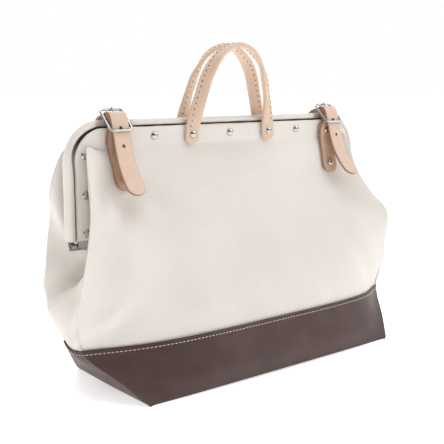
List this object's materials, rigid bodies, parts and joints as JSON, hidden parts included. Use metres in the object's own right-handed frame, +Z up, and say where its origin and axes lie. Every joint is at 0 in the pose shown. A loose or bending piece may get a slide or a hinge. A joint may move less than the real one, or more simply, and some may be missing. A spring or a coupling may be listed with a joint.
{
  "type": "canvas tool bag",
  "caption": "Closed canvas tool bag with a brown vinyl base, a hinged steel mouth frame, rolled leather handles and buckled leather straps over the mouth.",
  "frame": {"origin": "centre of the flat floor, on the surface that the bag stands on", "axes": "+X along the length to the bag's right as seen from the front, +Y to the back, +Z up"},
  "size_m": [0.4454, 0.1548, 0.3575],
  "materials": {
    "canvas": "off-white canvas",
    "vinyl": "dark brown vinyl",
    "leather": "natural tan leather",
    "steel": "plated",
    "nickel": "polished nickel"
  },
  "bodies": {
    "root": {"back_handle": "leather", "back_hem": "canvas", "back_rail": "steel", "billet_left": "leather", "billet_right": "leather", "buckle_left": "steel", "buckle_right": "steel", "canvas_back": "canvas", "canvas_body": "canvas", "chape_left": "leather", "chape_right": "leather", "front_handle": "leather", "front_hem": "canvas", "front_rail": "steel", "hinge_pin_left": "steel", "hinge_pin_right": "steel", "prong_left": "steel", "prong_right": "steel", "rivet_back_handle_left": "nickel", "rivet_back_handle_right": "nickel", "rivet_back_leg_left_1": "nickel", "rivet_back_leg_left_2": "nickel", "rivet_back_leg_left_3": "nickel", "rivet_back_leg_right_1": "nickel", "rivet_back_leg_right_2": "nickel", "rivet_back_leg_right_3": "nickel", "rivet_back_panel_1": "nickel", "rivet_back_panel_2": "nickel", "rivet_back_panel_3": "nickel", "rivet_billet_left_1": "nickel", "rivet_billet_left_2": "nickel", "rivet_billet_right_1": "nickel", "rivet_billet_right_2": "nickel", "rivet_chape_left_1": "nickel", "rivet_chape_left_2": "nickel", "rivet_chape_right_1": "nickel", "rivet_chape_right_2": "nickel", "rivet_front_handle_left": "nickel", "rivet_front_handle_right": "nickel", "rivet_front_leg_left_1": "nickel", "rivet_front_leg_left_2": "nickel", "rivet_front_leg_left_3": "nickel", "rivet_front_leg_right_1": "nickel", "rivet_front_leg_right_2": "nickel", "rivet_front_leg_right_3": "nickel", "rivet_front_panel_1": "nickel", "rivet_front_panel_2": "nickel", "rivet_front_panel_3": "nickel", "vinyl_base": "vinyl"}
  },
  "joints": []
}
